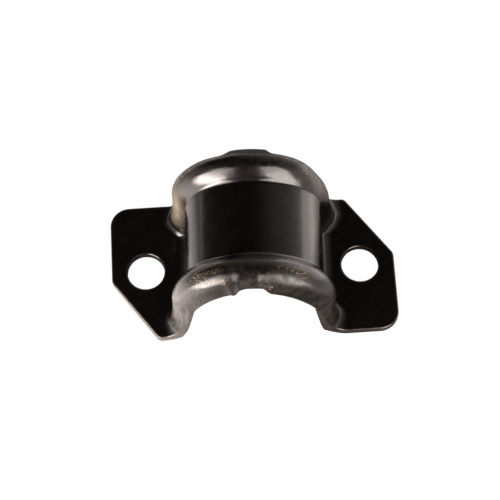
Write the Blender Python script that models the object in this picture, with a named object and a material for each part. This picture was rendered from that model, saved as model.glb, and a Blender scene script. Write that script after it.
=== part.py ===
"""Sway bar bushing bracket: one stamped steel strap, bent over a rubber bushing and bolted down by two ears.

The sheet is one closed solid. Its arch is a surface worked out from a cross-section and a lengthwise
profile, given its gauge along the surface normals, and the two ears are welded to its feet point by point.
The bracket stands on the undersides of its ears. X runs from ear to ear, Y along the bushing's bore, Z up.
It is the same after half a turn about Z. All lengths are in metres.
"""

import bmesh
import bpy
import numpy as np
from math import cos, pi, radians, sin, tan

# Sheet
THICKNESS = 0.0025

# Arch, measured on the outer surface of its plain barrel
BARREL_RADIUS = 0.0192
BARREL_HALF_LENGTH = 0.0101
ARCH_CENTRE_HEIGHT = 0.0182
FOOT_RADIUS = 0.0038

# Raised bead round each mouth
BEAD_HEIGHT = 0.0037
BEAD_FLANK_ANGLE = radians(45)
BEAD_ROOT_RADIUS = 0.002
BEAD_CREST_RADIUS = 0.0034

# Lip turned down from the bead's crest, deepest over the crown and fading out at the feet
LIP_ANGLE = radians(70)
LIP_EDGE_RADIUS = 0.0153
LIP_RUN = 0.032

# Relief in the middle of each lip, where the sheet is shorter and less turned
RELIEF_HALF_WIDTH = 0.0058
RELIEF_RAMP = 0.003
RELIEF_ANGLE = radians(52)
RELIEF_EDGE_RADIUS = 0.0185

# Bolt holes, each a gap away from the barrel's foot
BOLT_HOLE_DIAMETER = 0.011
BOLT_SEAT_GAP = 0.00335
BOLT_OFFSET = 0.0006
CUTTER_MARGIN = 0.002

# Ears, laid out about an axis that is turned against the arch
EAR_TURN = radians(2)
EAR_WALL = 0.00475
EAR_SQUARE_SIDE = 0.0214
EAR_POINTED_SIDE = 0.02085
CHAMFER_WIDTH = 0.01845
TIP_FLAT = 0.001
SQUARE_CORNER_RADIUS = 0.0058
CHAMFER_CORNER_RADIUS = 0.003
TIP_RADIUS = 0.0019
FILLET_SHARE = 0.9

# Paint
PAINT_COLOUR = (0.012, 0.011, 0.011, 1.0)
PAINT_ROUGHNESS = 0.22

# Faces along and round the arch
ARCH_STEPS = 36
WALL_STEPS = 3
FOOT_STEPS = 4
BARREL_STEPS = 4
ROOT_STEPS = 3
CREST_STEPS = 4
LIP_STATIONS = (0.09, 0.18, 0.27, 0.36, 0.45, 0.72, 1.0)
CORNER_STEPS = 6
HOLE_STEPS = 40
NORMAL_STEP = 1e-4
SHARP_ANGLE = radians(35)


def smooth_step(t):
    """A rise from 0 to 1 that starts and ends level."""
    t = np.clip(t, 0, 1)
    return t * t * (3 - 2 * t)


def clear_scene():
    for thing in list(bpy.data.objects):
        bpy.data.objects.remove(thing, do_unlink=True)


def lip_length(angle, edge_radius):
    """Length of sheet past the crest that ends at edge_radius, once bent down by angle."""
    drop = BARREL_RADIUS + BEAD_HEIGHT - edge_radius
    bend = BEAD_CREST_RADIUS * angle
    return bend + (drop - BEAD_CREST_RADIUS * (1 - cos(angle))) / sin(angle)


def bead_flank_length():
    """Length of the straight flank that brings the crest to BEAD_HEIGHT."""
    curved = (BEAD_ROOT_RADIUS + BEAD_CREST_RADIUS) * (1 - cos(BEAD_FLANK_ANGLE))
    return (BEAD_HEIGHT - curved) / sin(BEAD_FLANK_ANGLE)


def crest_place():
    """Distance of the bead's crest from the middle of the bracket."""
    curved = (BEAD_ROOT_RADIUS + BEAD_CREST_RADIUS) * sin(BEAD_FLANK_ANGLE)
    return BARREL_HALF_LENGTH + curved + bead_flank_length() * cos(BEAD_FLANK_ANGLE)


def bolt_reach():
    """Distance of a bolt hole's centre from the middle, past the barrel's foot."""
    return BARREL_RADIUS + FOOT_RADIUS + BOLT_SEAT_GAP + BOLT_HOLE_DIAMETER / 2


def ear_reach():
    """Distance of an ear's outer edge from the middle, a wall past the bolt hole."""
    return bolt_reach() + BOLT_HOLE_DIAMETER / 2 + EAR_WALL


def ear_side(x, pointed):
    """Distance from the X axis to the ear's end edge at x, on its pointed or its square side."""
    square = EAR_SQUARE_SIDE / cos(EAR_TURN) - x * tan(EAR_TURN)
    return np.where(pointed, EAR_POINTED_SIDE / cos(EAR_TURN) + x * tan(EAR_TURN), square)


def lip_shape(run, from_crown, pointed):
    """Angle and length of the lip at a height run above the ear, from_crown away from the crown.

    The angle rises as a parabola and the length as a smooth step, both over LIP_RUN. In the relief they
    change over to their own values. At the foot the sheet ends on the ear's end edge.
    """
    rise = 1 - (1 - np.clip(run / LIP_RUN, 0, 1)) ** 2
    foot_length = ear_side(BARREL_RADIUS + BEAD_HEIGHT, pointed) - crest_place()
    full_length = lip_length(LIP_ANGLE, LIP_EDGE_RADIUS)
    length = foot_length + (full_length - foot_length) * smooth_step(run / LIP_RUN)
    relief = smooth_step((RELIEF_HALF_WIDTH - from_crown) / RELIEF_RAMP + 0.5)
    relief_length = lip_length(RELIEF_ANGLE, RELIEF_EDGE_RADIUS)
    angle = LIP_ANGLE * rise * (1 - relief) + RELIEF_ANGLE * relief
    return angle, length * (1 - relief) + relief_length * relief


def profile(v, angle, length):
    """Distance from the middle and height above the barrel at the lengthwise parameter v.

    v runs over 0-1 plain barrel, 1-2 root fillet, 2-3 flank, 3-4 crest up to its top, 4-5 bend and lip.
    Each stretch adds its own part to the two sums.
    """
    barrel, root, flank, crest, lip = (np.clip(v - k, 0, 1) for k in range(5))
    up = BEAD_FLANK_ANGLE
    run = lip * length
    bent = np.minimum(run / BEAD_CREST_RADIUS, angle)
    straight = run - BEAD_CREST_RADIUS * bent
    along = BARREL_HALF_LENGTH * barrel + BEAD_ROOT_RADIUS * np.sin(up * root)
    along += bead_flank_length() * cos(up) * flank
    along += BEAD_CREST_RADIUS * (sin(up) - np.sin(up * (1 - crest)))
    along += BEAD_CREST_RADIUS * np.sin(bent) + straight * np.cos(angle)
    height = BEAD_ROOT_RADIUS * (1 - np.cos(up * root))
    height += bead_flank_length() * sin(up) * flank
    height += BEAD_CREST_RADIUS * (np.cos(up * (1 - crest)) - cos(up))
    height -= BEAD_CREST_RADIUS * (1 - np.cos(bent)) + straight * np.sin(angle)
    return along, height


def section(u, height):
    """Half of the cross-section at the parameter u, standing height off the barrel: distance out and level.

    u runs over 0-1 foot fillet from the ear, 1-2 wall, 2-3 quarter of the arch up to the crown.
    """
    foot, wall, arch = (np.clip(u - k, 0, 1) * scale for k, scale in enumerate((pi / 2, 1, pi / 2)))
    radius = BARREL_RADIUS + height
    out = radius * np.cos(arch) + FOOT_RADIUS * (1 - np.sin(foot))
    level = FOOT_RADIUS * (1 - np.cos(foot)) + (ARCH_CENTRE_HEIGHT - FOOT_RADIUS) * wall
    return out, level + radius * np.sin(arch)


def arch_surface(u, v):
    """Outer surface at the parameters u, from foot (-3) over the crown (0) to foot (3), and v, -5 to 5."""
    half = 3 - np.abs(u)
    wall, arch = np.clip(half - 1, 0, 1), np.clip(half - 2, 0, 1)
    foot_rise = FOOT_RADIUS * (1 - np.cos(np.clip(half, 0, 1) * pi / 2))
    quarter = BARREL_RADIUS * pi / 2
    run = foot_rise + (ARCH_CENTRE_HEIGHT - FOOT_RADIUS) * wall + quarter * arch
    angle, length = lip_shape(run, quarter * np.abs(u), u * v > 0)
    along, height = profile(np.abs(v), angle, length)
    out, level = section(half, height)
    return np.stack([np.sign(u) * out, np.sign(v) * along, THICKNESS + level], -1)


def arch_normals(u, v):
    """Unit normals of the outer surface, from the slopes along u and v. At the feet the sheet is level."""
    step = NORMAL_STEP
    along_u = arch_surface(np.clip(u + step, -3, 3), v) - arch_surface(np.clip(u - step, -3, 3), v)
    along_v = arch_surface(u, np.clip(v + step, -5, 5)) - arch_surface(u, np.clip(v - step, -5, 5))
    normals = np.cross(along_u, along_v)
    normals /= np.linalg.norm(normals, axis=-1, keepdims=True)
    normals[np.abs(u) >= 3] = (0, 0, 1)
    return normals


def stations():
    """Parameters of the grid lines over the arch and along it, the same on both sides of the middle."""
    foot = np.arange(FOOT_STEPS) / FOOT_STEPS
    wall = 1 + np.arange(WALL_STEPS) / WALL_STEPS
    arch = 2 + np.linspace(0, 1, ARCH_STEPS // 2 + 1)
    left = np.concatenate([foot, wall, arch]) - 3
    root = 1 + np.arange(ROOT_STEPS) / ROOT_STEPS
    crest = 3 + np.arange(CREST_STEPS) / CREST_STEPS
    rear = np.concatenate([root, [2], crest, [4], 4 + np.array(LIP_STATIONS)])
    middle = np.linspace(-1, 1, BARREL_STEPS + 1)[1:-1]
    return np.concatenate([left, -left[-2::-1]]), np.concatenate([-rear[::-1], middle, rear])


def turned(point, angle=EAR_TURN):
    """A point turned about the Z axis, which takes the ear's own layout into the bracket's axes."""
    x, y = point
    return np.array([x * cos(angle) - y * sin(angle), x * sin(angle) + y * cos(angle)])


def rounded_corner(before, corner, after, radius):
    """Points of the arc that rounds a corner, between its two neighbours and limited by the nearer one."""
    before, corner, after = (np.array(p, float) for p in (before, corner, after))
    one = (before - corner) / np.linalg.norm(before - corner)
    two = (after - corner) / np.linalg.norm(after - corner)
    half = np.arccos(np.clip(one @ two, -1, 1)) / 2
    room = FILLET_SHARE * min(np.linalg.norm(before - corner), np.linalg.norm(after - corner))
    radius = min(radius, room * tan(half))
    centre = corner + (one + two) / np.linalg.norm(one + two) * radius / sin(half)
    start = corner + one * radius / tan(half) - centre
    end = corner + two * radius / tan(half) - centre
    turn = np.arctan2(start[0] * end[1] - start[1] * end[0], start @ end)
    return [centre + turned(start, a) for a in np.linspace(0, turn, CORNER_STEPS + 1)]


def ear_outline(square_foot, pointed_foot):
    """Outline of the right ear from its foot on the square side round to its foot on the pointed side."""
    square_corner = turned((ear_reach(), -EAR_SQUARE_SIDE))
    chamfer_end = turned((ear_reach(), EAR_POINTED_SIDE - CHAMFER_WIDTH))
    tip_out = pointed_foot[0] + TIP_FLAT
    tip = np.array([tip_out, ear_side(tip_out, True)])
    points = rounded_corner(square_foot, square_corner, chamfer_end, SQUARE_CORNER_RADIUS)
    points += rounded_corner(square_corner, chamfer_end, tip, CHAMFER_CORNER_RADIUS)
    points += rounded_corner(chamfer_end, tip, pointed_foot, TIP_RADIUS)
    return points


def add_arch(mesh):
    """The arch, its beads and lips: an outer and an inner grid of faces, joined along both mouths."""
    over, along = stations()
    u, v = np.meshgrid(over, along, indexing="ij")
    outer = arch_surface(u, v)
    inner = outer - THICKNESS * arch_normals(u, v)
    tops = [[mesh.verts.new(point) for point in row] for row in outer]
    bottoms = [[mesh.verts.new(point) for point in row] for row in inner]
    for i in range(len(over) - 1):
        for j in range(len(along) - 1):
            mesh.faces.new((tops[i][j], tops[i + 1][j], tops[i + 1][j + 1], tops[i][j + 1]))
            mesh.faces.new((bottoms[i][j], bottoms[i][j + 1], bottoms[i + 1][j + 1], bottoms[i + 1][j]))
        mesh.faces.new((tops[i][0], bottoms[i][0], bottoms[i + 1][0], tops[i + 1][0]))
        mesh.faces.new((tops[i][-1], tops[i + 1][-1], bottoms[i + 1][-1], bottoms[i][-1]))
    return tops, bottoms


def add_ear(mesh, foot_tops, foot_bottoms, side):
    """One flat ear, sharing the foot's points with the arch. side is 1 on the right and -1 on the left."""
    square, pointed = (np.array(foot_tops[k].co[:2]) * side for k in (0, -1))
    outline = ear_outline(square, pointed)
    tops = [mesh.verts.new((x * side, y * side, THICKNESS)) for x, y in outline]
    bottoms = [mesh.verts.new((x * side, y * side, 0)) for x, y in outline]
    mesh.faces.new(tops + foot_tops[::-1])
    mesh.faces.new((bottoms + foot_bottoms[::-1])[::-1])
    rim_tops = [foot_tops[0]] + tops + [foot_tops[-1]]
    rim_bottoms = [foot_bottoms[0]] + bottoms + [foot_bottoms[-1]]
    for k in range(len(rim_tops) - 1):
        mesh.faces.new((rim_tops[k], rim_bottoms[k], rim_bottoms[k + 1], rim_tops[k + 1]))


def paint():
    material = bpy.data.materials.new("black_paint")
    material.use_nodes = True
    shader = material.node_tree.nodes["Principled BSDF"]
    shader.inputs["Base Color"].default_value = PAINT_COLOUR
    shader.inputs["Roughness"].default_value = PAINT_ROUGHNESS
    shader.inputs["Metallic"].default_value = 0.0
    return material


def build_bracket():
    mesh = bmesh.new()
    tops, bottoms = add_arch(mesh)
    add_ear(mesh, tops[-1], bottoms[-1], 1)
    add_ear(mesh, tops[0][::-1], bottoms[0][::-1], -1)
    bmesh.ops.recalc_face_normals(mesh, faces=mesh.faces)
    data = bpy.data.meshes.new("bushing_bracket")
    mesh.to_mesh(data)
    mesh.free()
    data.materials.append(paint())
    data.shade_smooth()
    data.set_sharp_from_angle(angle=SHARP_ANGLE)
    bracket = bpy.data.objects.new("bushing_bracket", data)
    bpy.context.scene.collection.objects.link(bracket)
    return bracket


def bolt_cutter(name, place):
    """A wire-drawn cylinder that drills one bolt hole."""
    mesh = bmesh.new()
    radius = BOLT_HOLE_DIAMETER / 2
    depth = THICKNESS + 2 * CUTTER_MARGIN
    bmesh.ops.create_cone(
        mesh, cap_ends=True, segments=HOLE_STEPS, radius1=radius, radius2=radius, depth=depth
    )
    data = bpy.data.meshes.new(name)
    mesh.to_mesh(data)
    mesh.free()
    cutter = bpy.data.objects.new(name, data)
    cutter.location = (place[0], place[1], THICKNESS / 2)
    cutter.display_type = "WIRE"
    cutter.hide_render = True
    bpy.context.scene.collection.objects.link(cutter)
    return cutter


def drill_bolt_holes(bracket):
    for name, side in (("right_bolt_cutter", 1), ("left_bolt_cutter", -1)):
        drill = bracket.modifiers.new(name, "BOOLEAN")
        drill.operation = "DIFFERENCE"
        drill.object = bolt_cutter(name, turned((bolt_reach(), -BOLT_OFFSET)) * side)


def main():
    clear_scene()
    drill_bolt_holes(build_bracket())


main()
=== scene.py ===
"""Looks of a sway bar bushing bracket: one stamped steel strap under a worn black dip coat.

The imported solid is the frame. Its node is replaced by one finished shell with the same arch, beads, lips and
ears, which adds rounded sheet edges and what is uneven about this one stamping: its lips, reliefs and dents.
X runs from ear to ear, Y along the bushing's bore, Z up from the ears' undersides. Lengths are in metres.
"""

from math import cos, pi, radians, sin, tan

import bmesh
import bpy
import numpy as np
from mathutils import Matrix, Vector


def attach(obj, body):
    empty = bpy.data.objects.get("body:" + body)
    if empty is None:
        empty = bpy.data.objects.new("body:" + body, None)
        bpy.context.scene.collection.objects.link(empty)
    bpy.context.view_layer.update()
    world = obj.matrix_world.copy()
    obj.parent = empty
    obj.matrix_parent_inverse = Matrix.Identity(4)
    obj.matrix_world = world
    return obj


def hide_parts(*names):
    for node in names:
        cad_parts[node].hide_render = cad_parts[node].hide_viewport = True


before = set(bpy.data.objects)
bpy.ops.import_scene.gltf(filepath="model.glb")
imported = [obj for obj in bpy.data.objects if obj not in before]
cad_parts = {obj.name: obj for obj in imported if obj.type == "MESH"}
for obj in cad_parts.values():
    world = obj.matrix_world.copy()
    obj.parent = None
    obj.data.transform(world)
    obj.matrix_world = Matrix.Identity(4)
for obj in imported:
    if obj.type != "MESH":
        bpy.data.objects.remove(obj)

bl_info = {
    "name": "Bushing Bracket Looks",
    "version": (1, 0, 0),
    "blender": (4, 5, 0),
    "location": "3D View > Sidebar > Bracket",
    "description": "Builds the finished bushing bracket, its paint and its studio",
    "category": "Add Mesh",
}

CAD_NODE = "bushing_bracket"
SLOPE_STEP = 1e-4
MERGE_DISTANCE = 1e-7


def metres(name, description, default):
    """A length."""
    return bpy.props.FloatProperty(name=name, description=description, default=default, unit="LENGTH")


def degrees(name, description, default):
    """An angle, given in degrees."""
    return bpy.props.FloatProperty(name=name, description=description, default=radians(default), subtype="ANGLE")


def number(name, description, default):
    """A plain number."""
    return bpy.props.FloatProperty(name=name, description=description, default=default)


def linear_rgb(name, description, default):
    """A colour."""
    return bpy.props.FloatVectorProperty(name=name, description=description, default=default, subtype="COLOR")


class BRACKET_PG_sheet(bpy.types.PropertyGroup):
    """Sizes of the stamped sheet."""

    gauge: metres("Gauge", "Thickness of the sheet", 0.0025)
    barrel_radius: metres("Barrel radius", "Outer radius of the plain barrel", 0.0192)
    barrel_half_length: metres("Barrel half length", "From the middle to the rear bead's root", 0.0106)
    front_half_length: metres("Front half length", "From the middle to the front bead's root", 0.0103)
    arch_height: metres("Arch centre", "Height of the arch's centre above the ears", 0.0182)
    foot_radius: metres("Foot radius", "Fillet between wall and ear", 0.0038)
    bead_foot_radius: metres("Bead foot radius", "The same fillet at the bead's crest", 0.0032)
    edge_foot_radius: metres("Edge foot radius", "The same fillet where the lip ends", 0.0038)
    foot_spread: number("Foot spread", "How much higher the bead stands at the ear, as a share", 0.38)
    foot_turn: degrees("Foot turn", "Turn of the lip at the ear", 12)
    belly: metres("Belly", "How much wider the barrel and front bead stand on the right", 0.0009)
    heel: number("Heel", "How far the sheet fills the inner corner in a lip's foot, as a share", 0.5)
    square_heel: number("Square heel", "The same share where the lip meets an ear's square side", 0.85)
    leg_swell: metres("Leg swell", "Extra thickness at the lower end of a lip's edge", 0.00055)
    square_leg_swell: metres("Square leg swell", "The same, up the whole wall on an ear's square side", 0.00115)
    foot_pull: metres("Foot pull", "How far the rear bead's root leans to the middle at the ears", 0.0012)
    sag: metres("Sag", "How much lower the rear bead stands on its right shoulder", 0.0015)
    sag_angle: degrees("Sag angle", "Place of the sag round the arch", 68)
    sag_width: degrees("Sag width", "Half width of the sag round the arch", 23)
    lean: metres("Lean", "How far the arch leans to the left", 0.00027)
    bead_height: metres("Bead height", "Height of the bead's crest over the barrel", 0.0037)
    flank_angle: degrees("Flank angle", "Slope of the bead's flank", 45)
    root_radius: metres("Root radius", "Fillet between barrel and flank", 0.001)
    flank_bow: degrees("Flank bow", "How much each end of the flank turns off its slope", 9)
    crest_radius: metres("Crest radius", "Radius over the bead's crest", 0.0034)
    front_crest_radius: metres("Front crest radius", "Radius over the front bead's crest", 0.0045)
    lip_angle: degrees("Lip angle", "How far the rear lip turns down over the crown", 70)
    front_lip_angle: degrees("Front lip angle", "How far the front lip turns down over the crown", 79)
    lip_edge: metres("Lip edge", "Radius of the arch at the lip's edge", 0.0153)
    lip_run: metres("Lip run", "Height over which the lip grows to its full turn", 0.032)
    relief_angle: degrees("Relief angle", "Turn of the lip in its front relief", 62)
    rear_relief_angle: degrees("Rear relief angle", "Turn of the lip in its rear relief", 48)
    relief_edge: metres("Relief edge", "Radius of the arch at the relief's edge", 0.0185)
    hole_radius: metres("Bolt hole radius", "Radius of both bolt holes", 0.0055)
    rolled_edge: metres("Rolled edge", "Rounding of the sheet's upper edges", 0.0006)
    burred_edge: metres("Burred edge", "Rounding of the sheet's lower edges", 0.00018)


# Ears, laid out about an axis that is turned against the arch
EAR_TURN = radians(2)
BOLT_PLACE = (0.03185, -0.0006)
EAR_REACH = 0.0421
EAR_SQUARE_SIDE = 0.0214
EAR_POINTED_SIDE = 0.02085
CHAMFER_WIDTH = 0.01845
TIP_FLAT = 0.0013
SQUARE_CORNER_RADIUS = 0.0058
CHAMFER_CORNER_RADIUS = 0.003
TIP_RADIUS = 0.0019

# Marks on the arch: angle round it in degrees, Y in millimetres, the half width in each, and the strength
MARKS = {
    "rust_and_glints": (
        (24, -16.2, 10, 1.2, 0.8), (36, -16.8, 6, 1.6, 1), (-26, -16.4, 8, 1, 0.6), (-42, -16.8, 8, 1.4, 0.9),
        (-48, 17.4, 12, 1.3, 0.8), (-68, 16.8, 12, 1.3, 1), (52, 17.4, 9, 1, 0.5), (-88, 16, 8, 1.6, 0.6),
        # The last place on the next line, on the front-left highlight, paints glints: pale flecks for the lamp's
        # sparkle
        (-22, -19.8, 3, 0.7, 0.7), (14, -20.6, 4, 0.6, 0.6), (-30, -18.9, 13, 0.9, 0.6),
    ),
    "dust": ((-104, 13.4, 20, 2.2, 0.85), (-88, 14.8, 14, 2.4, 0.75), (-118, 15.8, 8, 2, 0.2)),
    "scuff": (
        (0, -21, 60, 1.7, 0.7), (-84, -19.5, 26, 2.8, 1), (-112, -19.5, 20, 3, 1), (98, -20.5, 30, 3.4, 1),
        (14, 17.6, 22, 2.4, 0.9), (0, 20, 30, 1.6, 0.9), (-48, 18.2, 24, 1.8, 0.4), (48, 17.6, 24, 2.2, 1),
        (0, -14.6, 50, 2.6, 0.8), (22, -18.3, 18, 1.5, 1), (-6, 18.8, 24, 1.4, 0.8), (84, 15.5, 22, 2.4, 0.5),
        (-84, 15.5, 22, 2.4, 1), (56, 14.2, 14, 2.4, 0.9),
    ),
    # The grey film here also paints a broad highlight, the floor's sheen, most of all on the front-left lip
    "haze_and_sheen": (
        (-84, -17.6, 13, 1.4, 0.8), (-104, -17.8, 16, 2.2, 0.35), (-70, -18.6, 22, 3, 0.3),
        (-110, -20, 24, 3, 0.3), (-98, 16.4, 18, 1.6, 0.3), (58, 16.6, 16, 1.6, 0.18), (-6, 18.9, 24, 1.3, 0.1),
    ),
    "pitting": (
        (-30, -18.2, 12, 1.3, 1), (28, -16.8, 16, 1.6, 1), (-48, 16.6, 20, 2, 1), (-24, 13.6, 12, 1.6, 0.6),
        (-8, -16.5, 9, 2.2, 1),
    ),
}

# Where the marks fade, in metres: off the arch, and with the height over the ears
MARKS_FADE = 0.003
MARKS_RISE = (0.0002, 0.0018)
DUST_RISE = (0.0015, 0.0045)

# Look of the cut edges: worn steel least of all, what the left ear's chamfer adds, which is also a painted
# highlight of its bright rim, and X and Y where that comes in
WEAR, CHAMFER_BARE_AND_SHEEN = 0.15, 0.7
CHAMFER_BARE_AND_SHEEN_ACROSS = (-0.018, -0.024)
CHAMFER_BARE_AND_SHEEN_ALONG = (-0.004, -0.008)

# Share of the cut edge's look that the burr keeps at the underside
BURR_SHARE = 0.6

# Dents and ridges: arch angle in degrees, lengthwise parameter, half widths in each, and height along the normal
DENTS = (
    (-6, 2.1, 34, 0.1, -0.00008), (3, -4.45, 2.2, 0.35, 0.00018), (-9.5, -4.2, 4.5, 0.4, 0.0002),
    (-27, -4.75, 6.5, 0.22, -0.00035), (-19.5, -4.9, 2.2, 0.3, 0.0003), (-14, -4.5, 5, 0.3, -0.00015),
    (14, -4.6, 5, 0.3, -0.00012), (-40, 4.3, 9, 0.5, 0.00012), (-8, 4.4, 9, 0.5, 0.0001),
    (36, -4.3, 10, 0.5, 0.0001), (28, -4.05, 12, 0.3, 0.00028), (-23, -4.05, 8, 0.3, 0.00018),
)

# The shell's two parameters: u at a foot, and v at a bead's crest and at a lip's edge
FOOT, CREST, EDGE = 3, 4, 5

# Relief of the lips: places across the crown, in metres, from none of it to all of it
FRONT_RELIEF_CORNER, FRONT_RELIEF_POWER = -0.0059, 3.3
FRONT_RELIEF_RIGHT = (0.0068, 0.0026)
REAR_RELIEF_LEFT = (-0.0109, -0.0047)
REAR_RELIEF_RIGHT = (0.0078, 0.0042)

# Places in the section's or the profile's parameter where a change is at none and at all of it
PULL_FALL = (4, 1.5)
SWELL_RISE = (0, 0.4)
LEG_SWELL_FALL = (1.6, 0.8)
SQUARE_LEG_SWELL_FALL = (2.25, 1.9)
LIP_GAUGE_RISE = (4.2, 5)
INNER_DENTS_RISE, INNER_DENTS_SHARE = (4.3, 4.8), 1 / 3

# Share of the foot's turn kept off both its ends, where a full inner corner has no measure
LEAST_TURN = 0.001

# Grid of the shell: over the arch, along it, round the sheet's edge, and on the ears. LIP_END is the share of
# the lip up to where the rolled edge takes over.
FOOT_STEPS, WALL_STEPS, ARCH_STEPS = 10, 16, 60
BARREL_STEPS, ROOT_STEPS, FLANK_STEPS, CREST_STEPS, LIP_STEPS, LIP_END = 24, 8, 14, 10, 20, 0.84
ROLL_STEPS, SIDE_STEPS, BURR_STEPS = 4, 3, 2
EAR_RINGS, CORNER_STEPS, OUTLINE_STEP = 26, 16, 0.0005


def smooth_step(t):
    """A rise from 0 to 1 that starts and ends level: 3 t squared less 2 t cubed."""
    t = np.clip(t, 0, 1)
    return t * t * (3 - 2 * t)


def rising(t, start, end):
    """The same rise, with its 0 at start and its 1 at end."""
    return smooth_step((t - start) / (end - start))


def hill(distance, width):
    """A round hill: 1 at no distance, falling as e to the minus square of distance over width."""
    return np.exp(-((distance / width) ** 2))


def lip_length(sheet, crest_radius, angle, edge_radius):
    """Length of sheet past the crest that ends at edge_radius, once it is bent down by angle."""
    drop = sheet.barrel_radius + sheet.bead_height - edge_radius
    return crest_radius * angle + (drop - crest_radius * (1 - np.cos(angle))) / np.sin(angle)


def flank_turns(sheet):
    """Slopes of the bowed flank at its root and at its crest."""
    return sheet.flank_angle + sheet.flank_bow, sheet.flank_angle - sheet.flank_bow


def bow_radius(sheet, crest_radius):
    """Radius of the bowed flank that lifts the crest to the bead's height."""
    root_turn, crest_turn = flank_turns(sheet)
    curved = sheet.root_radius * (1 - cos(root_turn)) + crest_radius * (1 - cos(crest_turn))
    return (sheet.bead_height - curved) / (cos(crest_turn) - cos(root_turn))


def crest_place(sheet, half_length, crest_radius):
    """Distance of the bead's crest from the middle of the bracket, for a root at half_length."""
    root_turn, crest_turn = flank_turns(sheet)
    curved = sheet.root_radius * sin(root_turn) + crest_radius * sin(crest_turn)
    return half_length + curved + bow_radius(sheet, crest_radius) * (sin(root_turn) - sin(crest_turn))


def ear_side(x, pointed):
    """Distance from the X axis to the ear's end edge at x, on its pointed or its square side."""
    square = EAR_SQUARE_SIDE / cos(EAR_TURN) - x * tan(EAR_TURN)
    return np.where(pointed, EAR_POINTED_SIDE / cos(EAR_TURN) + x * tan(EAR_TURN), square)


def relief_share(across, v):
    """How much of the relief holds at the place across the crown: 0 in the full lip, 1 in the relief.

    It is the lesser of two sides. The front one starts at a sharp corner on the left, where it falls off as
    a power of the distance, and ends in a smooth step on the right. The rear one has two smooth steps.
    """
    corner = 1 - np.clip(across / FRONT_RELIEF_CORNER, 0, 1) ** FRONT_RELIEF_POWER
    left = np.where(v < 0, corner, rising(across, *REAR_RELIEF_LEFT))
    right = np.where(v < 0, rising(across, *FRONT_RELIEF_RIGHT), rising(across, *REAR_RELIEF_RIGHT))
    return np.minimum(left, right)


def lip_shape(sheet, half_length, crest_radius, run, across, u, v):
    """Angle and length of the lip at a height run above the ear and a place across the crown.

    The angle rises from the foot's as a parabola and the length as a smooth step over the lip's run, and
    both change over to their own values in the relief. At the foot the sheet ends on the ear's end edge.
    """
    rise = 1 - (1 - np.clip(run / sheet.lip_run, 0, 1)) ** 2
    end_edge = ear_side(sheet.barrel_radius + sheet.bead_height, u * v > 0)
    foot_length = (end_edge - crest_place(sheet, half_length, crest_radius)) / cos(sheet.foot_turn)
    full_angle = np.where(v < 0, sheet.front_lip_angle, sheet.lip_angle)
    full_length = lip_length(sheet, crest_radius, full_angle, sheet.lip_edge)
    length = foot_length + (full_length - foot_length) * smooth_step(run / sheet.lip_run)
    relief = relief_share(across, v)
    relief_angle = np.where(v < 0, sheet.relief_angle, sheet.rear_relief_angle)
    relief_length = lip_length(sheet, crest_radius, relief_angle, sheet.relief_edge)
    angle = sheet.foot_turn + (full_angle - sheet.foot_turn) * rise
    return angle * (1 - relief) + relief_angle * relief, length * (1 - relief) + relief_length * relief


def dent_height(u, v):
    """How far the sheet stands out from the die's surface, along its normal: the sum of the dents' round hills."""
    total = np.zeros(np.broadcast(u, v).shape)
    for angle, place, wide, long, height in DENTS:
        total += height * hill(np.degrees(u * pi / 2) - angle, wide) * hill(v - place, long)
    return total


def profile(sheet, half_length, crest_radius, v, angle, length, dent):
    """Distance from the middle and height above the barrel at the lengthwise parameter v.

    v runs over 0-1 plain barrel, 1-2 root fillet, 2-3 bowed flank, 3-4 crest up to its top, 4-5 bend and lip.
    Each stretch adds its own arc or straight part to the two sums, and a dent goes along the surface's normal.
    """
    barrel, root, flank, crest, lip = (np.clip(v - k, 0, 1) for k in range(5))
    root_turn, crest_turn = flank_turns(sheet)
    bow = bow_radius(sheet, crest_radius)
    slope = root_turn - 2 * sheet.flank_bow * flank
    left_over = crest_turn * (1 - crest)
    run = lip * length
    bent = np.minimum(run / crest_radius, angle)
    straight = run - crest_radius * bent
    along = half_length * barrel + sheet.root_radius * np.sin(root_turn * root)
    along += bow * (sin(root_turn) - np.sin(slope)) + crest_radius * (sin(crest_turn) - np.sin(left_over))
    along += crest_radius * np.sin(bent) + straight * np.cos(angle)
    height = sheet.root_radius * (1 - np.cos(root_turn * root))
    height += bow * (np.cos(slope) - cos(root_turn)) + crest_radius * (np.cos(left_over) - cos(crest_turn))
    height -= crest_radius * (1 - np.cos(bent)) + straight * np.sin(angle)
    tilt = bent - np.where(v < 2, root_turn * root, np.where(v < 3, slope, left_over))
    return along + dent * np.sin(tilt), height + dent * np.cos(tilt)


def section(sheet, half, height, foot_radius):
    """Half of the cross-section at its parameter, standing height off the barrel: distance out and level.

    The parameter runs over 0-1 foot fillet from the ear, 1-2 wall, 2-3 quarter of the arch to the crown.
    Down the wall the height grows with the square of the way, to the foot's spread.
    """
    foot = np.clip(half, 0, 1) * pi / 2
    wall = np.clip(half - 1, 0, 1)
    arch = np.clip(half - 2, 0, 1) * pi / 2
    radius = sheet.barrel_radius + height * (1 + sheet.foot_spread * (1 - wall) ** 2)
    out = radius * np.cos(arch) + foot_radius * (1 - np.sin(foot))
    level = foot_radius * (1 - np.cos(foot)) + (sheet.arch_height - foot_radius) * wall
    return out, level + radius * np.sin(arch)


def fillet_radius(sheet, v):
    """Radius between wall and ear at the lengthwise parameter v: two smooth steps between three given radii."""
    bead, edge = rising(np.abs(v), 1, 3), rising(np.abs(v), CREST, EDGE)
    radius = sheet.foot_radius + (sheet.bead_foot_radius - sheet.foot_radius) * bead
    return radius + (sheet.edge_foot_radius - sheet.bead_foot_radius) * edge


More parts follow.
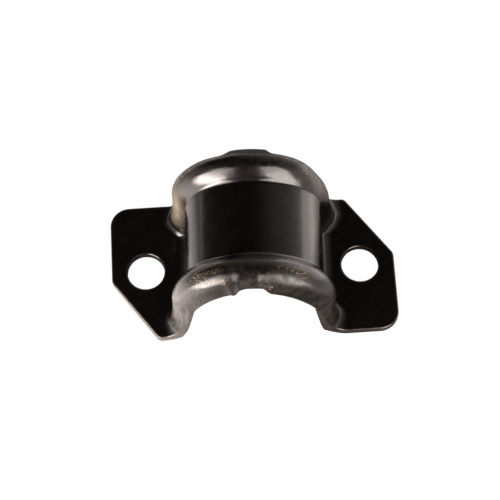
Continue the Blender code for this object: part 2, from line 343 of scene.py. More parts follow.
def plain_surface(sheet, u, v, dents=1.0):
    """Outer surface as the die gives it, at u from foot (-3) over the crown (0) to foot (3) and v from -5 to 5.

    Each point takes its place along Y and its height from the profile, and its place across and its level
    from the section that stands that high. The sag comes in, and the belly goes out, in step with the height up
    to a bead's crest. The dents count as far as their share says.
    """
    half = FOOT - np.abs(u)
    half_length = np.where(v < 0, sheet.front_half_length, sheet.barrel_half_length)
    crest_radius = np.where(v < 0, sheet.front_crest_radius, sheet.crest_radius)
    foot_radius = fillet_radius(sheet, v)
    foot_rise = foot_radius * (1 - np.cos(np.clip(half, 0, 1) * pi / 2))
    quarter = sheet.barrel_radius * pi / 2
    wall_rise = (sheet.arch_height - foot_radius) * np.clip(half - 1, 0, 1)
    run = foot_rise + wall_rise + quarter * np.clip(half - 2, 0, 1)
    angle, length = lip_shape(sheet, half_length, crest_radius, run, quarter * u, u, v)
    along, height = profile(sheet, half_length, crest_radius, np.abs(v), angle, length, dents * dent_height(u, v))
    risen = np.where(np.abs(v) < CREST, np.clip(height / sheet.bead_height, 0, 1), 1)
    height = height - sheet.sag * risen * (v > 0) * hill(u * pi / 2 - sheet.sag_angle, sheet.sag_width)
    out, level = section(sheet, half, height, foot_radius)
    pull = sheet.foot_pull * (1 - np.clip(half - 1, 0, 1)) ** 2
    along = along - pull * smooth_step(v) * rising(v, *PULL_FALL)
    lean = sheet.lean * smooth_step(level / sheet.arch_height)
    belly = sheet.belly * smooth_step(u) * (1 - risen * np.where(v < 0, 1 - np.clip(half - 1, 0, 1), 1))
    return np.stack([np.sign(u) * out - lean + belly, np.sign(v) * along, sheet.gauge + level], -1)


def softer_surface(sheet, u, v):
    """The same surface for the inner side: it has a share of the lip's dents and none of the others."""
    return plain_surface(sheet, u, v, INNER_DENTS_SHARE * rising(np.abs(v), *INNER_DENTS_RISE))


def slopes(surface, sheet, u, v):
    """Unit normals and unit tangents along v of a surface, from its differences along u and v."""
    u_before, u_after = (np.clip(u + step, -FOOT, FOOT) for step in (-SLOPE_STEP, SLOPE_STEP))
    v_before, v_after = (np.clip(v + step, -EDGE, EDGE) for step in (-SLOPE_STEP, SLOPE_STEP))
    along_u = surface(sheet, u_after, v) - surface(sheet, u_before, v)
    along_v = surface(sheet, u, v_after) - surface(sheet, u, v_before)
    normals = np.cross(along_u, along_v)
    normals /= np.linalg.norm(normals, axis=-1, keepdims=True)
    normals[np.abs(u) >= FOOT] = (0, 0, 1)
    return normals, along_v / np.linalg.norm(along_v, axis=-1, keepdims=True)


def local_gauge(sheet, u, v):
    """Thickness of the sheet: its gauge and, in the foot of a lip, a share of what fills the inner corner.

    A full corner reaches along the fillet's normal to the ear's underside or to the wall's inner side,
    whichever is nearer. The lip's edge also swells inward over its lower end, and on the square side up to
    the top of the wall.
    """
    half = FOOT - np.abs(u)
    turn = np.clip(half, LEAST_TURN, 1 - LEAST_TURN) * pi / 2
    radius = fillet_radius(sheet, v)
    down = (sheet.gauge + radius * (1 - np.cos(turn))) / np.cos(turn)
    inward = (sheet.gauge + radius * (1 - np.sin(turn))) / np.sin(turn)
    square = u * v < 0
    fill = np.where(square, sheet.square_heel, sheet.heel) * (np.minimum(down, inward) - sheet.gauge)
    lower, whole = rising(half, *LEG_SWELL_FALL), rising(half, *SQUARE_LEG_SWELL_FALL)
    swell = np.where(square, sheet.square_leg_swell * whole, sheet.leg_swell * lower)
    extra = fill + swell * rising(half, *SWELL_RISE)
    return sheet.gauge + extra * rising(np.abs(v), *LIP_GAUGE_RISE)


def stretches(first, *counts):
    """Even steps through stretches that are 1 long each, from first on, without the last one's end."""
    return np.concatenate([first + k + np.arange(count) / count for k, count in enumerate(counts)])


def stations():
    """Parameters of the grid lines over the arch and along it, the same on both sides of the middle."""
    left = np.append(stretches(-FOOT, FOOT_STEPS, WALL_STEPS, ARCH_STEPS), 0)
    lip = CREST + LIP_END * np.linspace(0, 1, LIP_STEPS + 1)
    rear = np.append(stretches(1, ROOT_STEPS, FLANK_STEPS, CREST_STEPS), lip)
    middle = np.linspace(-1, 1, BARREL_STEPS + 1)[1:-1]
    return np.concatenate([left, -left[-2::-1]]), np.concatenate([-rear[::-1], middle, rear])


def edge_section(sheet):
    """Cross-section of the sheet's edge from its upper to its lower side: inset from the edge, and depth.

    A rolled quarter circle above, a straight side, and a tighter quarter circle at the burr below.
    """
    roll = np.linspace(0, pi / 2, ROLL_STEPS + 1)
    burr = np.linspace(0, pi / 2, BURR_STEPS + 1)
    side = np.linspace(sheet.rolled_edge, sheet.gauge - sheet.burred_edge, SIDE_STEPS + 1)[1:-1]
    inset = [sheet.rolled_edge * (1 - np.sin(roll)), 0 * side, sheet.burred_edge * (1 - np.cos(burr))]
    depth = [sheet.rolled_edge * (1 - np.cos(roll)), side, sheet.gauge - sheet.burred_edge * (1 - np.sin(burr))]
    return np.concatenate(inset), np.concatenate(depth)


def edge_cut(sheet):
    """How far each point of the edge's cross-section is on the cut: 0 on the top, 1 on the straight side."""
    inset, depth = edge_section(sheet)
    return np.clip(1 - inset / sheet.rolled_edge, 0, 1) * np.where(depth < sheet.gauge, 1, BURR_SHARE)


def arch_rings(sheet):
    """Closed rings round the sheet of the arch, one for each station over it, as an array of points.

    A ring follows the outer surface, turns round the rear edge, comes back on the inner surface one gauge
    below along the normals, and turns round the front edge. Nothing lies under the ears' undersides.
    """
    over, along = stations()
    u, v = np.meshgrid(over, along, indexing="ij")
    outer = plain_surface(sheet, u, v)
    inner_normals = slopes(softer_surface, sheet, u, v)[0]
    inner = softer_surface(sheet, u, v) - local_gauge(sheet, u, v)[..., None] * inner_normals
    inset, depth = edge_section(sheet)
    turns = []
    for end in (EDGE, -EDGE):
        place = np.full_like(over, end)
        normals, tangents = slopes(plain_surface, sheet, over, place)
        outward = tangents * np.sign(end)
        deep = depth * local_gauge(sheet, over, place)[:, None] / sheet.gauge
        edge = plain_surface(sheet, over, place)[:, None]
        turns.append(edge - inset[:, None] * outward[:, None] - deep[..., None] * normals[:, None])
    rings = np.concatenate([outer, turns[0], inner[:, ::-1], turns[1][:, ::-1]], 1)
    rings[..., 2] = np.maximum(rings[..., 2], 0)
    return rings, len(along), len(inset)


def rounded_corner(before, corner, after, radius):
    """Points of the arc that rounds a corner between its two neighbours."""
    one = (before - corner) / np.linalg.norm(before - corner)
    two = (after - corner) / np.linalg.norm(after - corner)
    half = np.arccos(one @ two) / 2
    centre = corner + (one + two) / np.linalg.norm(one + two) * radius / sin(half)
    start, end = (corner + side * radius / tan(half) - centre for side in (one, two))
    turn = np.arctan2(start[0] * end[1] - start[1] * end[0], start @ end)
    return [centre + turned(start, a) for a in np.linspace(0, turn, CORNER_STEPS + 1)]


def turned(point, angle=EAR_TURN):
    """A point turned about the Z axis, which takes the ear's own layout into the bracket's axes."""
    x, y = point
    return np.array([x * cos(angle) - y * sin(angle), x * sin(angle) + y * cos(angle)])


def ear_outline(square_foot, pointed_foot):
    """Even points of the right ear's outline from its square foot round to its pointed foot, and outward normals.

    Straight edges between rounded corners, walked at a constant step. A normal is the direction of the
    walk, turned a quarter to the right.
    """
    square_corner = turned((EAR_REACH, -EAR_SQUARE_SIDE))
    chamfer_end = turned((EAR_REACH, EAR_POINTED_SIDE - CHAMFER_WIDTH))
    tip_out = pointed_foot[0] + TIP_FLAT
    tip = np.array([tip_out, ear_side(tip_out, True)])
    corners = [square_foot]
    corners += rounded_corner(square_foot, square_corner, chamfer_end, SQUARE_CORNER_RADIUS)
    corners += rounded_corner(square_corner, chamfer_end, tip, CHAMFER_CORNER_RADIUS)
    corners += rounded_corner(chamfer_end, tip, pointed_foot, TIP_RADIUS) + [pointed_foot]
    corners = np.array(corners)
    walked = np.concatenate([[0], np.cumsum(np.linalg.norm(np.diff(corners, axis=0), axis=1))])
    count = int(walked[-1] / OUTLINE_STEP)
    evenly = np.linspace(0, walked[-1], count + 1)
    points = np.stack([np.interp(evenly, walked, corners[:, k]) for k in (0, 1)], -1)
    walk = np.gradient(points, axis=0)
    walk /= np.linalg.norm(walk, axis=1, keepdims=True)
    return points[1:-1], np.stack([walk[:, 1], -walk[:, 0]], -1)[1:-1]


def ear_grids(sheet, ring, count, turn_count, side):
    """The right or left ear as four grids: top and underside from hole to outline, its edge, and the hole's wall.

    The faces blend in a straight line from the hole's rim to the outline, each column at its own angle
    about the bolt. The foot's columns are the arch's own last points.
    """
    flip = np.array([side, side, 1])
    foot = ring[:count] * flip
    rear = ring[count : count + turn_count] * flip
    under = ring[count + turn_count : 2 * count + turn_count][::-1] * flip
    front = ring[2 * count + turn_count :][::-1] * flip
    square, pointed = (front, rear) if side > 0 else (rear, front)
    if side < 0:
        foot, under = foot[::-1], under[::-1]
    inset, depth = edge_section(sheet)
    nominal = [turn[0] + (turn[ROLL_STEPS] - turn[0]) * (1, 1, 0) for turn in (square, pointed)]
    outline, normals = ear_outline(nominal[0][:2], nominal[1][:2])
    edge = np.empty((len(outline), len(inset), 3))
    edge[..., :2] = outline[:, None] - inset[:, None] * normals[:, None]
    edge[..., 2] = sheet.gauge - depth
    edge = np.concatenate([square[None], edge, pointed[None]])
    tops = np.concatenate([edge[:, 0], foot[::-1]])
    bottoms = np.concatenate([edge[:, -1], under[::-1]])
    centre = turned(BOLT_PLACE)
    angle = np.arctan2(tops[:, 1] - centre[1], tops[:, 0] - centre[0])
    direction = np.stack([np.cos(angle), np.sin(angle), 0 * angle], -1)
    middle = np.array([*centre, sheet.gauge])
    reach = sheet.hole_radius + inset
    wall = middle + reach[:, None] * direction[:, None] - depth[:, None] * np.array([0, 0, 1])
    share = np.linspace(0, 1, EAR_RINGS + 1)[:, None]
    top = wall[:, :1] * (1 - share) + tops[:, None] * share
    bottom = wall[:, -1:] * (1 - share) + bottoms[:, None] * share
    cut = edge_cut(sheet)
    faces = [(top, True, 0, 1), (bottom[:, ::-1], True, 0, 0)]
    sides = [(edge, False, cut, 1), (wall[:, ::-1], True, cut[::-1], 1)]
    return [(grid * flip, closed, grid_cut, out) for grid, closed, grid_cut, out in faces + sides]


def grid_faces(rows, columns, first, closed_rows, closed_columns):
    """Quads of a grid of points whose numbers start at first. A closed direction joins its end to its start."""
    row = np.arange(rows if closed_rows else rows - 1)[:, None]
    column = np.arange(columns if closed_columns else columns - 1)
    next_row, next_column = (row + 1) % rows, (column + 1) % columns
    corners = (row * columns + column, next_row * columns + column)
    corners += (next_row * columns + next_column, row * columns + next_column)
    return first + np.stack(corners, -1).reshape(-1, 4)


def spots(angle, along, places):
    """Sum of round hills at places given as arch angle in degrees, Y in millimetres, both half widths, strength."""
    total = np.zeros_like(angle)
    for at_angle, at_along, wide, long, strength in places:
        total += strength * hill(np.degrees(angle) - at_angle, wide) * hill(1000 * along - at_along, long)
    return np.clip(total, 0, 1)


def finish_masks(sheet, points, outside):
    """How strong each mark is on the points, from 0 to 1, by its name, and how much edge colour the cut edges take.

    The angle goes round the arch from its crown, right positive. The cut edges take the most on the left ear's
    chamfer, where it is worn steel and also a painted highlight of the chamfer's bright rim.
    """
    angle = np.arctan2(points[:, 0], points[:, 2] - sheet.gauge - sheet.arch_height)
    along = points[:, 1]
    over_ear = points[:, 2] - sheet.gauge
    arch_reach = sheet.barrel_radius + sheet.bead_height * (1 + sheet.foot_spread) + sheet.bead_foot_radius
    arch = np.clip((arch_reach - np.abs(points[:, 0])) / MARKS_FADE, 0, 1)
    shown = outside * arch * rising(over_ear, *MARKS_RISE)
    masks = {name: spots(angle, along, places) * shown for name, places in MARKS.items()}
    masks["dust"] *= rising(over_ear, *DUST_RISE)
    # The chamfer's share is worn steel and also a painted highlight of its bright rim
    chamfer = rising(points[:, 0], *CHAMFER_BARE_AND_SHEEN_ACROSS) * rising(along, *CHAMFER_BARE_AND_SHEEN_ALONG)
    masks["bare_and_sheen"] = WEAR + CHAMFER_BARE_AND_SHEEN * chamfer
    return masks


def shell_mesh(sheet, name):
    """One closed mesh from the arch's rings and the grids of both ears, merged where they share points.

    Each point keeps how far it is on the sheet's cut edge and in each of the masks.
    """
    rings, count, turn_count = arch_rings(sheet)
    cut = edge_cut(sheet)
    ring_cut = np.concatenate([np.zeros(count), cut, np.zeros(count), cut[::-1]])
    ring_out = np.concatenate([np.ones(count + turn_count), np.zeros(count), np.ones(turn_count)])
    grids = [(rings, False, True, ring_cut, ring_out)]
    for side, ring in ((1, rings[-1]), (-1, rings[0])):
        for grid, closed, grid_cut, out in ear_grids(sheet, ring, count, turn_count, side):
            grids.append((grid, closed, False, grid_cut, out))
    points, faces, cuts, outs, first = [], [], [], [], 0
    for grid, closed_rows, closed_columns, grid_cut, out in grids:
        rows, columns = grid.shape[:2]
        faces.append(grid_faces(rows, columns, first, closed_rows, closed_columns))
        points.append(grid.reshape(-1, 3))
        cuts.append(np.broadcast_to(grid_cut, (rows, columns)).ravel())
        outs.append(np.broadcast_to(out, (rows, columns)).ravel())
        first += rows * columns
    points, cuts, outs = np.concatenate(points), np.concatenate(cuts), np.concatenate(outs)
    data = bpy.data.meshes.new(name)
    data.from_pydata(points, [], np.concatenate(faces))
    masks = {"cut_edge": cuts, **finish_masks(sheet, points, outs)}
    for mask_name, mask in masks.items():
        attribute = data.attributes.new(mask_name, "FLOAT", "POINT")
        attribute.data.foreach_set("value", mask.astype(np.float32))
    mesh = bmesh.new()
    mesh.from_mesh(data)
    bmesh.ops.remove_doubles(mesh, verts=mesh.verts, dist=MERGE_DISTANCE)
    bmesh.ops.recalc_face_normals(mesh, faces=mesh.faces)
    open_edges = sum(not edge.is_manifold for edge in mesh.edges)
    if open_edges:
        raise RuntimeError(f"the shell has {open_edges} edges that don't join two faces")
    mesh.to_mesh(data)
    mesh.free()
    data.shade_smooth()
    return data


def node(tree, kind, inputs=None, **settings):
    """A new node of a tree, with its settings. Each input takes a link from the given socket, or a plain value."""
    made = tree.nodes.new(kind)
    for key, value in settings.items():
        setattr(made, key, value)
    for key, term in (inputs or {}).items():
        inlet = made.inputs[key]
        if isinstance(term, bpy.types.NodeSocket):
            tree.links.new(term, inlet)
        else:
            inlet.default_value = (*term, 1.0) if inlet.type == "RGBA" else term
    return made


# The functions from here to dip_coat each give a socket
def noise(tree, place, scale, detail, roughness):
    """Fractal noise on the place, scale cells to a metre."""
    inputs = {"Vector": place, "Scale": scale, "Detail": detail, "Roughness": roughness}
    return node(tree, "ShaderNodeTexNoise", inputs).outputs["Fac"]


def ease(tree, value, low, high, to_low=0.0, to_high=1.0):
    """The value taken from low..high to to_low..to_high in a smooth step, and held outside."""
    inputs = {"Value": value, "From Min": low, "From Max": high, "To Min": to_low, "To Max": to_high}
    return node(tree, "ShaderNodeMapRange", inputs, interpolation_type="SMOOTHSTEP").outputs["Result"]


def maths(tree, operation, *terms):
    """One step of arithmetic on sockets or plain numbers."""
    return node(tree, "ShaderNodeMath", dict(enumerate(terms)), operation=operation).outputs["Value"]


def mix(tree, share, below, above):
    """Colour that goes from below to above by share. The node's slots 6, 7 and 2 are its colour ones."""
    return node(tree, "ShaderNodeMix", {0: share, 6: below, 7: above}, data_type="RGBA").outputs[2]


def level_at(tree, value, stops):
    """Level that goes in straight lines between stops, each a value and the level at it."""
    places = [place for place, level in stops]
    inputs = {"Value": value, "From Min": places[0], "From Max": places[-1]}
    ramp = node(tree, "ShaderNodeValToRGB", {"Fac": node(tree, "ShaderNodeMapRange", inputs).outputs["Result"]})
    elements = ramp.color_ramp.elements
    while len(elements) < len(stops):
        elements.new(0.5)
    for element, (place, level) in zip(elements, stops):
        element.position = (place - places[0]) / (places[-1] - places[0])
        element.color = (level, level, level, 1.0)
    return ramp.outputs["Color"]


# Noise fields of the coat: cells to a metre, octaves and roughness. The streaks' is drawn out along Z.
COAT_NOISES = {
    "grime": (420, 5, 0.6), "speckle": (2600, 3, 0.6), "grain": (2900, 2, 0.6), "waves": (260, 2, 0.5),
    "mottle": (1000, 4, 0.7),
}
STREAK_NOISE = (1300, 3, 0.6)
STREAK_SHRINK = (1, 1, 0.14)

# How noise breaks up each mark: the noise, its values at the ramp's two ends and, where not 0 and 1, the shares there
MARK_RAMPS = {
    "dust": ("grime", 0.1, 0.55),
    "scuff": ("grime", 0.2, 0.62),
    "haze_and_sheen": ("streaks", 0.36, 0.62, 0.25, 1.15),
    "rust_and_glints": ("speckle", 0.5, 0.64),
    "bare_and_sheen": ("grime", 0.25, 0.6, 0.5, 1),
}
FLECK_RAMP = (0.32, 0.5)
THIN_PAINT_RAMP = (0.35, 0.7)
MOTTLE_RAMP = (0.35, 0.65)

# Roughness: where the grime ramps it and by how much, on scuffs, and what each other mark adds
GLOSS_RAMP, GLOSS_LOSS = (0.3, 0.75), 0.08
SCUFF_ROUGHNESS = (0.12, 0.3)
ADDED_ROUGHNESS = {"haze_and_sheen": 0.25, "pitting": 0.05, "dust": 0.4, "bare_and_sheen": 0.3, "rust_and_glints": 0.5}

# Height of each pattern of the coat, in the finish's relief
WAVE_HEIGHT, PIT_HEIGHT, GRAIN_HEIGHT, SCUFF_HEIGHT, FLECK_HEIGHT, STREAK_HEIGHT = 2.0, 2.5, 0.25, 1.0, 1.0, 1.6


def dip_coat(finish):
    """Gloss black dip coat over steel, scuffed and dusty on the lips, flecked with rusty spots, worn on the cut
    edges.

    Some of its colour is painted highlight: the grey film on the front-left lip, pale glints on the front-left
    highlight, and the pale rim of the left ear's chamfer.
    """
    material = bpy.data.materials.new("worn_black_dip_coat")
    material.use_nodes = True
    tree = material.node_tree
    shader = tree.nodes["Principled BSDF"]
    place = node(tree, "ShaderNodeTexCoord").outputs["Object"]
    drawn_out = node(tree, "ShaderNodeVectorMath", {0: place, 1: STREAK_SHRINK}, operation="MULTIPLY")
    noises = {name: noise(tree, place, *values) for name, values in COAT_NOISES.items()}
    noises["streaks"] = noise(tree, drawn_out.outputs["Vector"], *STREAK_NOISE)

    names = (*MARKS, "bare_and_sheen", "cut_edge")
    masks = {name: node(tree, "ShaderNodeAttribute", attribute_name=name).outputs["Fac"] for name in names}
    marks = dict(masks)
    for name, (field, *ends) in MARK_RAMPS.items():
        marks[name] = maths(tree, "MULTIPLY", masks[name], ease(tree, noises[field], *ends))
    marks["rust_and_glints"] = ease(tree, marks["rust_and_glints"], *FLECK_RAMP)
    marks["bare_and_sheen"] = maths(tree, "MULTIPLY", masks["cut_edge"], marks["bare_and_sheen"])

    colour = mix(tree, ease(tree, noises["waves"], *THIN_PAINT_RAMP), finish.paint, finish.paint_thin)
    mottled = ease(tree, noises["mottle"], *MOTTLE_RAMP)
    scuffed = mix(tree, mottled, finish.scuffed_dark, finish.scuffed)
    covers = {"haze_and_sheen": finish.haze_and_sheen, "dust": finish.dust, "bare_and_sheen": finish.raw_edge_and_sheen, "rust_and_glints": finish.rust_and_glints}
    for name, cover in {"scuff": scuffed, **covers}.items():
        colour = mix(tree, marks[name], colour, cover)
    tree.links.new(colour, shader.inputs["Base Color"])

    rough = ease(tree, noises["grime"], *GLOSS_RAMP, finish.gloss, finish.gloss + GLOSS_LOSS)
    dull = ease(tree, noises["mottle"], *MOTTLE_RAMP, *SCUFF_ROUGHNESS)
    rough = maths(tree, "ADD", rough, maths(tree, "MULTIPLY", marks["scuff"], dull))
    for name, added in ADDED_ROUGHNESS.items():
        rough = maths(tree, "MULTIPLY_ADD", marks[name], added, rough)
    tree.links.new(rough, shader.inputs["Roughness"])
    ior = maths(tree, "MULTIPLY_ADD", marks["scuff"], finish.scuffed_ior - finish.coat_ior, finish.coat_ior)
    tree.links.new(ior, shader.inputs["IOR"])

    patterns = (
        (maths(tree, "MULTIPLY", masks["pitting"], noises["speckle"]), PIT_HEIGHT),
        (noises["grain"], GRAIN_HEIGHT),
        (maths(tree, "MULTIPLY", marks["scuff"], noises["mottle"]), SCUFF_HEIGHT),
        (marks["rust_and_glints"], FLECK_HEIGHT),
        (maths(tree, "MULTIPLY", masks["haze_and_sheen"], noises["streaks"]), STREAK_HEIGHT),
    )
    height = maths(tree, "MULTIPLY", noises["waves"], WAVE_HEIGHT)
    for pattern, tall in patterns:
        height = maths(tree, "MULTIPLY_ADD", pattern, tall, height)
    bump = node(tree, "ShaderNodeBump", {"Strength": 1.0, "Distance": finish.relief, "Height": height})
    tree.links.new(bump.outputs["Normal"], shader.inputs["Normal"])
    return material


class BRACKET_PG_finish(bpy.types.PropertyGroup):
    """Colours and gloss of the coat."""

    paint: linear_rgb("Paint", "Black of the dip coat", (0.0034, 0.0021, 0.0024))
    paint_thin: linear_rgb("Thin paint", "Where the coat lies thin", (0.0044, 0.003, 0.003))
    scuffed_dark: linear_rgb("Scuffed, dark", "Dulled coat on the lips, at its darkest", (0.01, 0.0085, 0.007))
    scuffed: linear_rgb("Scuffed, pale", "The same at its palest", (0.04, 0.033, 0.027))
    # Colour of the grey film, which on the front-left lip is also a painted highlight of the floor's sheen
    haze_and_sheen: linear_rgb("Haze", "Rubbed grey film on the coat", (0.2, 0.19, 0.18))
    dust: linear_rgb("Dust", "Pale dirt in the corners", (0.26, 0.22, 0.16))
    # Colour of the rusty flecks, which on the front-left highlight are painted glints as well
    rust_and_glints: linear_rgb("Rust", "Flecks of rust", (0.42, 0.3, 0.18))
    # Colour of the cut edges' worn steel, which on the left ear's chamfer is also a painted highlight of its bright
    # rim
    raw_edge_and_sheen: linear_rgb("Raw edge", "Steel showing on cut edges", (0.13, 0.1, 0.08))
    gloss: number("Gloss", "Roughness of the clean coat", 0.17)
    coat_ior: number("Coat IOR", "Refractive index of the coat", 1.75)
    scuffed_ior: number("Scuffed IOR", "The same where the coat is dull", 1.52)
    relief: metres("Relief", "Height of the coat's unevenness", 0.00003)


class BRACKET_PG_studio(bpy.types.PropertyGroup):
    """Camera, lamps and floor."""

    camera_elevation: degrees("Elevation", "Camera over the horizon", 67.616)
    camera_distance: metres("Distance", "Camera to its target", 0.508504)
    camera_yaw: degrees("Yaw", "Camera round the bracket", 0.222)
    camera_roll: degrees("Roll", "Camera about its own axis", 1.489)
    camera_target: bpy.props.FloatVectorProperty(
        name="Target", description="Point on the ears that is in the middle", default=(-0.00076, 0.005638, 0.0025),
        subtype="XYZ", unit="LENGTH",
    )
    lens: number("Lens", "Focal length in mm on a 36 mm sensor", 122.5)
    floor_reach: metres("Floor", "Half the width of the floor", 3.0)
    floor_glow: number("Floor glow", "Brightness that the floor keeps in shadow", 0.97)
    ambient: number("Ambient", "Even light of the room", 0.2)
    ceiling: number("Ceiling", "Light of the dark room in gloss", 0.008)


# Warm cast of everything that shines on the bracket
ROOM_TINT = (1.09, 0.98, 0.92)
WHITE, BLACK = (1.0, 1.0, 1.0), (0.0, 0.0, 0.0)

# The floor's own greys, as it throws light and as the camera sees it, and how far it lies under the ears
FLOOR_GREY, FLOOR_SEEN_GREY = (0.8, 0.8, 0.8), (0.12, 0.12, 0.12)
FLOOR_DROP = 1e-5

# Shade under each bolt hole: metres from the bolt's axis from dark to lit, and the light left at each
HOLE_SHADE = (0.006, 0.01, 0.05, 1.0)

SENSOR_WIDTH = 36.0
NEAREST_SEEN = 0.01

# Light of the floor in gloss: X or Y in metres, and the level there. A side's two levels are multiplied.
FLOOR_LEFT_X = (
    (-1, 0), (-0.5, 0.5), (-0.13, 0.6), (-0.06, 1), (-0.043, 1), (-0.033, 0.58), (-0.024, 0.3),
    (-0.009, 0.16), (0.006, 0.02),
)
FLOOR_LEFT_Y = (
    (-0.3, 0.2), (-0.12, 0.4), (-0.08, 2), (-0.05, 2.3), (-0.03, 2.6), (-0.01, 2.4), (0.002, 2.2), (0.014, 1.3),
    (0.035, 1.1), (0.06, 0.5), (0.09, 0.6), (0.16, 1.9), (0.4, 1.9),
)
FLOOR_RIGHT_X = (
    (0.02, 0), (0.028, 0.1), (0.045, 0.35), (0.06, 0.78), (0.075, 1.05), (0.1, 1), (0.13, 0.8), (0.18, 0.8),
    (0.28, 1),
)
FLOOR_RIGHT_Y = ((-0.4, 0.6), (-0.03, 0.75), (0.01, 0.75), (0.022, 2), (0.4, 2))
FLOOR_FRONT = ((-0.1, 0.25), (-0.05, 0.1), (0.1, 0.1))

# Light of the room in gloss: degrees round it from the front, right positive, and degrees up, with the level there
ROOM_ROUND = (
    (-180, 0.65), (-172, 0.6), (-167, 0.3), (-163, 0.05), (-112, 0.03), (-105, 0.35), (-96, 0.6), (-75, 0.5),
    (-62, 0.2), (0, 0.12), (45, 0.2), (62, 0.9), (85, 0.9), (100, 0.62), (115, 0.62), (124, 0.95), (136, 1),
    (152, 1.05), (166, 0.85), (180, 0.65),
)
ROOM_UP = (
    (-90, 0), (-2, 1), (6, 0.9), (12, 0.66), (20, 0.48), (28, 0.34), (36, 0.25), (44, 0.19), (52, 0.12),
    (58, 0.06), (66, 0), (90, 0),
)


def placed(name, data):
    """A new object of the scene."""
    made = bpy.data.objects.new(name, data)
    bpy.context.scene.collection.objects.link(made)
    return made


def build_floor(studio):
    """A plane under the ears. To the camera it is white less the object's shadow.

    In gloss it is lit from the left and the right and keeps the shade in the bolt holes.
    """
    reach = studio.floor_reach
    corners = [(x * reach, y * reach, -FLOOR_DROP) for x, y in ((-1, -1), (1, -1), (1, 1), (-1, 1))]
    data = bpy.data.meshes.new("studio_floor")
    data.from_pydata(corners, [], [(0, 1, 2, 3)])
    floor = placed("studio_floor", data)
    material = bpy.data.materials.new("white_floor")
    material.use_nodes = True
    tree = material.node_tree
    tree.nodes.clear()
    seen = seen_rays(tree)
    camera_ray = node(tree, "ShaderNodeLightPath").outputs["Is Camera Ray"]
    tint = mix(tree, camera_ray, mix(tree, seen, FLOOR_GREY, BLACK), FLOOR_SEEN_GREY)
    diffuse = node(tree, "ShaderNodeBsdfDiffuse", {"Color": tint})
    place = node(tree, "ShaderNodeTexCoord").outputs["Object"]
    parts = node(tree, "ShaderNodeSeparateXYZ", {"Vector": place}).outputs
    x, y = parts["X"], parts["Y"]
    sides = level_at(tree, y, FLOOR_FRONT)
    for x_stops, y_stops in ((FLOOR_LEFT_X, FLOOR_LEFT_Y), (FLOOR_RIGHT_X, FLOOR_RIGHT_Y)):
        patch = maths(tree, "MULTIPLY", level_at(tree, x, x_stops), level_at(tree, y, y_stops))
        sides = maths(tree, "MAXIMUM", sides, patch)
    off_bolt = maths(tree, "SUBTRACT", maths(tree, "ABSOLUTE", x), BOLT_PLACE[0])
    off_bolt = maths(tree, "MULTIPLY_ADD", y, y, maths(tree, "MULTIPLY", off_bolt, off_bolt))
    off_bolt = maths(tree, "SQRT", off_bolt)
    sides = maths(tree, "MULTIPLY", sides, ease(tree, off_bolt, *HOLE_SHADE))
    dimmer = maths(tree, "SUBTRACT", studio.floor_glow, sides)
    glow_level = maths(tree, "MULTIPLY_ADD", camera_ray, dimmer, sides)
    strength = maths(tree, "MULTIPLY", seen, glow_level)
    warmth = mix(tree, camera_ray, ROOM_TINT, WHITE)
    glow = node(tree, "ShaderNodeEmission", {"Color": warmth, "Strength": strength})
    both = node(tree, "ShaderNodeAddShader", {0: diffuse.outputs[0], 1: glow.outputs[0]})
    below = node(tree, "ShaderNodeNewGeometry").outputs["Backfacing"]
    clear = node(tree, "ShaderNodeBsdfTransparent")
    mixed = node(tree, "ShaderNodeMixShader", {0: below, 1: both.outputs[0], 2: clear.outputs[0]})
    node(tree, "ShaderNodeOutputMaterial", {"Surface": mixed.outputs[0]})
    data.materials.append(material)


def seen_rays(tree):
    """1 on rays from the camera, in gloss and through glass, and 0 on the rest."""
    path = node(tree, "ShaderNodeLightPath").outputs
    seen = maths(tree, "MAXIMUM", path["Is Camera Ray"], path["Is Glossy Ray"])
    return maths(tree, "MAXIMUM", seen, path["Is Transmission Ray"])


def build_world(studio):
    """White behind the object, an even grey light on it, and in gloss the room: its round level times its rise."""
    world = bpy.data.worlds.new("studio_room")
    bpy.context.scene.world = world
    world.use_nodes = True
    tree = world.node_tree
    tree.nodes.clear()
    way = node(tree, "ShaderNodeTexCoord").outputs["Generated"]
    parts = node(tree, "ShaderNodeSeparateXYZ", {"Vector": way}).outputs
    turn = maths(tree, "ARCTAN2", parts["X"], maths(tree, "MULTIPLY", parts["Y"], -1.0))
    rise = maths(tree, "ARCSINE", parts["Z"])
    round_room = level_at(tree, maths(tree, "DEGREES", turn), ROOM_ROUND)
    up_room = level_at(tree, maths(tree, "DEGREES", rise), ROOM_UP)
    room = maths(tree, "MULTIPLY_ADD", round_room, up_room, studio.ceiling)
    path = node(tree, "ShaderNodeLightPath").outputs
    over_ambient = maths(tree, "SUBTRACT", room, studio.ambient)
    strength = maths(tree, "MULTIPLY_ADD", path["Is Glossy Ray"], over_ambient, studio.ambient)
    strength = maths(tree, "MAXIMUM", strength, path["Is Camera Ray"])
    warmth = mix(tree, path["Is Camera Ray"], ROOM_TINT, WHITE)
    light = node(tree, "ShaderNodeBackground", {"Color": warmth, "Strength": strength})
    node(tree, "ShaderNodeOutputWorld", {"Surface": light.outputs[0]})


LAMPS = (
    # name, degrees round from the front, distance, width, bottom and top over the floor in metres, and radiance
    ("left_low_lamp", -45, 0.2, 0.138, 0.0, 0.085, 14.5),
    ("left_high_lamp", -46, 0.2, 0.13, 0.085, 0.2, 4.2),
    ("right_low_lamp", 35.5, 0.25, 0.162, 0.0, 0.15, 6.3),
    ("right_high_lamp", 35.5, 0.25, 0.162, 0.15, 0.28, 3.8),
)


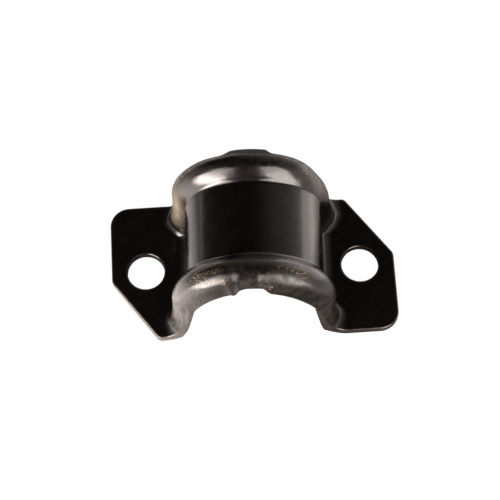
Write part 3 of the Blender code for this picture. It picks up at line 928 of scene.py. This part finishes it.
def build_lamps():
    """Upright soft rectangles that face the bracket. A lamp's power is pi times its area times its radiance."""
    for name, azimuth, distance, width, bottom, top, radiance in LAMPS:
        lamp = bpy.data.lights.new(name, "AREA")
        lamp.shape = "RECTANGLE"
        lamp.size, lamp.size_y = width, top - bottom
        lamp.energy = pi * width * (top - bottom) * radiance
        lamp.color = ROOM_TINT
        holder = placed(name, lamp)
        way = Vector((sin(radians(azimuth)), -cos(radians(azimuth)), 0))
        holder.location = way * distance + Vector((0, 0, (bottom + top) / 2))
        holder.rotation_euler = way.to_track_quat("Z", "Y").to_euler()
        holder.visible_camera = False


def build_camera(studio):
    """The photograph's camera: it looks down at the target by its elevation, turned by roll and yaw."""
    rise, roll = studio.camera_elevation, studio.camera_roll
    forward = Vector((0, cos(rise), -sin(rise)))
    upward = Vector((0, sin(rise), cos(rise)))
    across = Vector((1, 0, 0))
    right = across * cos(roll) - upward * sin(roll)
    top = across * sin(roll) + upward * cos(roll)
    place = Vector(studio.camera_target) - forward * studio.camera_distance
    axes = Matrix((right, top, -forward)).transposed().to_4x4()
    data = bpy.data.cameras.new("photo_camera")
    data.sensor_width = SENSOR_WIDTH
    data.lens = studio.lens
    data.clip_start = NEAREST_SEEN
    camera = placed("photo_camera", data)
    camera.matrix_world = Matrix.Rotation(studio.camera_yaw, 4, "Z") @ Matrix.Translation(place) @ axes
    bpy.context.scene.camera = camera


class BRACKET_OT_shell(bpy.types.Operator):
    """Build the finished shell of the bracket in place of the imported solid"""

    bl_idname = "bracket.shell"
    bl_label = "Stamped Shell"

    def execute(self, context):
        shell = placed("bracket_shell", shell_mesh(context.scene.bracket_sheet, "bracket_shell"))
        shell.data.materials.append(dip_coat(context.scene.bracket_finish))
        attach(shell, "root")
        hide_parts(CAD_NODE)
        return {"FINISHED"}


class BRACKET_OT_stage(bpy.types.Operator):
    """Set up the floor, the room, the lamps and the camera"""

    bl_idname = "bracket.stage"
    bl_label = "Studio"

    def execute(self, context):
        studio = context.scene.bracket_studio
        build_floor(studio)
        build_world(studio)
        build_lamps()
        build_camera(studio)
        context.scene.view_settings.view_transform = "Standard"
        return {"FINISHED"}


class BRACKET_PT_looks(bpy.types.Panel):
    """Builders and settings of the bracket"""

    bl_idname = "BRACKET_PT_looks"
    bl_label = "Bushing Bracket"
    bl_space_type = "VIEW_3D"
    bl_region_type = "UI"
    bl_category = "Bracket"

    def draw(self, context):
        layout = self.layout
        pieces = (BRACKET_OT_shell, "bracket_sheet", "bracket_finish"), (BRACKET_OT_stage, "bracket_studio")
        for operator, *groups in pieces:
            layout.operator(operator.bl_idname)
            for group in groups:
                settings = getattr(context.scene, group)
                for key in settings.bl_rna.properties.keys():
                    if key not in ("rna_type", "name"):
                        layout.prop(settings, key)


CLASSES = (
    BRACKET_PG_sheet, BRACKET_PG_finish, BRACKET_PG_studio, BRACKET_OT_shell, BRACKET_OT_stage, BRACKET_PT_looks,
)


def register():
    for cls in CLASSES:
        bpy.utils.register_class(cls)
    bpy.types.Scene.bracket_sheet = bpy.props.PointerProperty(type=BRACKET_PG_sheet)
    bpy.types.Scene.bracket_finish = bpy.props.PointerProperty(type=BRACKET_PG_finish)
    bpy.types.Scene.bracket_studio = bpy.props.PointerProperty(type=BRACKET_PG_studio)


def unregister():
    del bpy.types.Scene.bracket_studio
    del bpy.types.Scene.bracket_finish
    del bpy.types.Scene.bracket_sheet
    for cls in reversed(CLASSES):
        bpy.utils.unregister_class(cls)


def main():
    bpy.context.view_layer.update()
    register()
    bpy.ops.bracket.shell()
    bpy.ops.bracket.stage()


if __name__ == "__main__":
    main()
